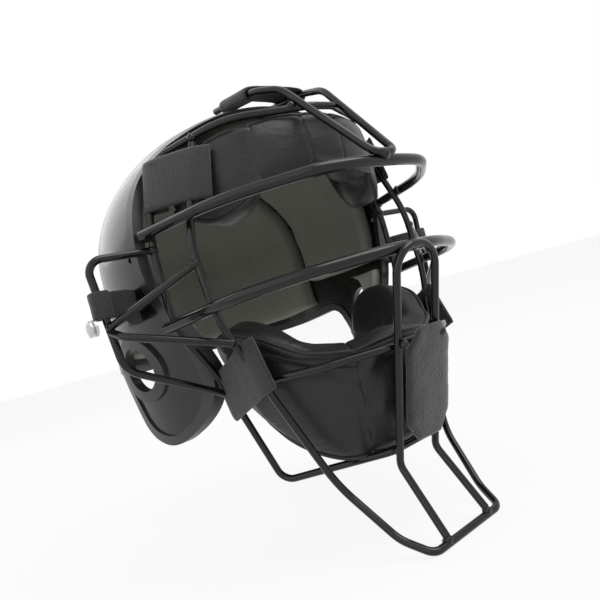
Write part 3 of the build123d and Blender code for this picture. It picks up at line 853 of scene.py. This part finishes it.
def jaw_tab(side_name, side):
    """Webbing laid over the cheek wire and the frame beside the jaw, its lower end rounded."""
    corner_radius = 8 * MM
    line_step = 1.1 * MM
    cheek_share, frame_share = 0.3, 0.16
    upper = cheek_bend.lerp(throat_knee, cheek_share)
    lower = jaw_bend.lerp(jaw_corner, frame_share)
    along = (lower - upper).normalized()
    across = along.cross(Vector((1, 0, 0))).normalized()
    outward = across.cross(along).normalized()
    over = WIRE_RADIUS + WEB / 2
    upper_end, lower_end = -13 * MM, 6.5 * MM
    upper_hang, lower_hang = over - 3.2 * MM, over - 2.4 * MM
    above_upper, above_lower = -5 * MM, -3 * MM
    turns = ((upper, upper_end, upper_hang), (upper, above_upper, over), (upper, 0, over),
             (lower, above_lower, over), (lower, 0, over), (lower, lower_end, lower_hang))
    points = [place + along * run + outward * out for place, run, out in turns]
    line = spaced(eased([mirrored(point, side) for point in points], rounds=2), line_step)
    lows, highs = rounded_edges(line, corner_radius)
    tab = band("jaw_webbing_" + side_name, line, mirrored(across, side), lows, highs, "mask")
    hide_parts("jaw_tab_" + side_name)


def chin_tab():
    """A soft-faced fastening tab with cut corners, slightly cupped, in front of the mouth loop."""
    width, height, thick, cut = 34 * MM, 64 * MM, 3 * MM, 11 * MM
    corner_slope = 0.72
    edge_radius, edge_share = 1.6 * MM, 0.45
    side_cup, end_cup = 0.8 * MM, 0.6 * MM
    wobble_scale, wobble = 400, 0.4 * MM
    lump_scale, lump_layer, lump_height = 90, 0.3, 0.5 * MM
    row_count, column_count = 32, 10
    drop_share, aside_share = 0.38, 0.28
    middle_z = jaw_bar_z - height * drop_share
    share = (mouth_top.z - middle_z) / (mouth_top.z - mouth_foot.z)
    front = mouth_top.lerp(mouth_foot, share).y - WIRE_RADIUS - thick / 2
    origin = Vector((mouth_foot.x - width * aside_share, front, middle_z))
    lean = math.atan2(mouth_foot.y - mouth_top.y, mouth_top.z - mouth_foot.z)
    across = Vector((1, 0, 0))
    up = Vector((0, -math.sin(lean), math.cos(lean)))
    outward = across.cross(up)
    columns = [step / column_count for step in range(column_count + 1)]
    rings = []
    for row in range(row_count + 1):
        v = -height / 2 + height * row / row_count
        inset = max(abs(v) - (height / 2 - cut), 0) * corner_slope
        half = width / 2 - inset + noise.noise(Vector((v * wobble_scale, 0, 0))) * wobble
        ring = []
        for face_side in (1, -1):
            for share_x in columns[::face_side]:
                u = (share_x * 2 - 1) * half
                edge = min(1.0, (half - abs(u)) / edge_radius, (height / 2 - abs(v)) / edge_radius)
                full = edge_share + (1 - edge_share) * math.sqrt(max(edge, 0))
                cup = side_cup * (u / (width / 2)) ** 2 - end_cup * (v / (height / 2)) ** 2
                lump = noise.noise(Vector((u, v, lump_layer)) * lump_scale) * lump_height
                out = face_side * thick / 2 * full - cup + lump
                ring.append(origin + across * u + up * v + outward * out)
        rings.append(ring)
    mesh = bmesh.new()
    grid(mesh, rings)
    tab = piece("chin_pile_tab", mesh, "mask", "tab")
    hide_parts("chin_tab")


def side_strap(side_name, side):
    """The strap's tail lies along the cap, and its loop goes round the ear guard."""
    line_step = 0.8 * MM
    flat = (mm(104.1, -16, 0), mm(102.2, -27, 0), mm(101.6, -30, 0), mm(114.7, -42, 0),
            mm(127, -43.2, 0), mm(131.5, -43.8, 0), mm(131.5, -52.2, 0), mm(123.1, -52.2, 0),
            mm(123.1, -46.6, 0))
    line = spaced(eased([mirrored(point, side) for point in flat]), line_step)
    top, tail_low, loop_low = 46 * MM, 26 * MM, 31.5 * MM
    narrowing_x, narrowing_run = 111 * MM, 5 * MM
    lows = []
    for point in line:
        share = min(max((abs(point.x) - narrowing_x) / narrowing_run, 0), 1)
        lows.append(tail_low + (loop_low - tail_low) * share)
    tab = band("strap_webbing_" + side_name, line, UP, lows, [top] * len(line), side_name + "_strap")
    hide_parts("side_strap_" + side_name)


for side_name, side in SIDES:
    temple_tab(side_name, side)
    jaw_tab(side_name, side)
    side_strap(side_name, side)
crown_tab()
chin_tab()


# Weld beads where the wires cross

LUMP_SCALE = 1.7
LUMP_SHARE = 0.28
SEED_STEP = 3.7

# Each bead's place and its radius in millimetres
SIDE_WELDS = (
    (mm(82.8, -78, 72), 3.0), (mm(86.4, -79.6, 21), 3.0), (mm(93, -47.4, 71), 3.2),
    (mm(93, -47.4, 19), 3.2), (mm(91.7, -48, 63), 2.9), (mm(69.6, -48, -27), 3.0),
    (mm(84.5, -78, 46.6), 2.9), (mm(125.6, -49.4, 27), 2.7), (mm(78.6, -82.4, 2), 2.9),
    (mm(62.7, -71.6, 117), 2.9), (mm(69.3, -85.4, -22), 2.9), (mm(15, -113, -78), 2.8),
    (mm(17.1, -133, -123.3), 2.8), (mm(15, -139, -22), 2.6), (mm(17.4, -108, 118.7), 2.7),
)
UPPER_NOSE_WELD = (mm(0, -147.6, 74.2), 3.3)
LOWER_NOSE_WELD = (mm(0, -149.4, 25.7), 3.3)


def bead(mesh, place, radius, seed):
    """A lumpy bead of weld metal under the coat."""
    made = bmesh.ops.create_icosphere(mesh, subdivisions=2, radius=1.0)
    for vertex in made["verts"]:
        lump = 1 + LUMP_SHARE * noise.noise(vertex.co * LUMP_SCALE + Vector((seed, 0, 0)))
        vertex.co = place + vertex.co * (radius * MM) * lump


welds = bmesh.new()
seed = 0
for place, radius in SIDE_WELDS:
    for side_name, side in SIDES:
        seed += SEED_STEP
        bead(welds, mirrored(place, side), radius, seed)
bead(welds, *UPPER_NOSE_WELD, seed=1.3)
bead(welds, *LOWER_NOSE_WELD, seed=2.1)
piece("weld_beads", welds, "mask", "cage")


# Floor, light and world

FLOOR_SIZE = 12.0
FLOOR_GAP = 0.3 * MM
FLOOR_GLOW = 0.88


def stage_floor():
    """A white floor that glows to the camera and in reflections."""
    mesh = bmesh.new()
    bmesh.ops.create_grid(mesh, x_segments=1, y_segments=1, size=FLOOR_SIZE)
    data = bpy.data.meshes.new("floor")
    mesh.to_mesh(data)
    mesh.free()
    floor = bpy.data.objects.new("floor", data)
    floor.location.z = cad_box[0][2] - FLOOR_GAP
    scene.collection.objects.link(floor)
    look = Shader("floor_white", grey(0.94), roughness=0.9)
    tree = look.tree
    glow = look.node("ShaderNodeEmission", [("Color", (1, 1, 1, 1)), ("Strength", 1.0)])
    rays = look.node("ShaderNodeLightPath").outputs
    indirect = look.math("MAXIMUM", rays["Is Glossy Ray"], rays["Is Transmission Ray"])
    seen = look.math("MAXIMUM", rays["Is Camera Ray"], indirect)
    mix = look.node("ShaderNodeMixShader", [("Fac", look.math("MULTIPLY", seen, FLOOR_GLOW))])
    tree.links.new(look.surface.outputs["BSDF"], mix.inputs[1])
    tree.links.new(glow.outputs["Emission"], mix.inputs[2])
    tree.links.new(mix.outputs["Shader"], tree.nodes["Material Output"].inputs["Surface"])
    data.materials.append(look.material)


def world_light(level):
    """White to the camera and in reflections, and light of the given level on the part."""
    world = bpy.data.worlds.new("studio")
    world.use_nodes = True
    scene.world = world
    nodes, links = world.node_tree.nodes, world.node_tree.links
    background = nodes["Background"]
    background.inputs["Color"].default_value = (1, 1, 1, 1)
    path = nodes.new("ShaderNodeLightPath")
    direct = nodes.new("ShaderNodeMath")
    direct.operation = "MAXIMUM"
    links.new(path.outputs["Is Camera Ray"], direct.inputs[0])
    other = nodes.new("ShaderNodeMath")
    other.operation = "MAXIMUM"
    links.new(path.outputs["Is Glossy Ray"], other.inputs[0])
    links.new(path.outputs["Is Transmission Ray"], other.inputs[1])
    links.new(other.outputs["Value"], direct.inputs[1])
    strength = nodes.new("ShaderNodeMapRange")
    strength.inputs["To Min"].default_value = level
    strength.inputs["To Max"].default_value = 1.0
    links.new(direct.outputs["Value"], strength.inputs["Value"])
    links.new(strength.outputs["Result"], background.inputs["Strength"])


def lamp(name, place, aim, size, power):
    data = bpy.data.lights.new(name, "AREA")
    data.shape = "DISK"
    data.size = size
    data.energy = power
    light = bpy.data.objects.new(name, data)
    light.location = place
    light.rotation_euler = (aim - place).to_track_quat("-Z", "Y").to_euler()
    scene.collection.objects.link(light)


# Lamps stand at places in metres and aim at the middle of the part
stage_floor()
world_light(level=0.45)
middle = (Vector(cad_box[0]) + Vector(cad_box[1])) / 2
lamp("key_light", Vector((0.35, -0.75, 1.15)), middle, size=1.0, power=9.0)
lamp("fill_light", Vector((-1.1, -0.5, 0.5)), middle, size=1.8, power=4.0)
lamp("back_light", Vector((-0.3, 1.0, 0.9)), middle, size=1.4, power=4.0)

scene.view_settings.view_transform = "Standard"

bpy.context.view_layer.update()
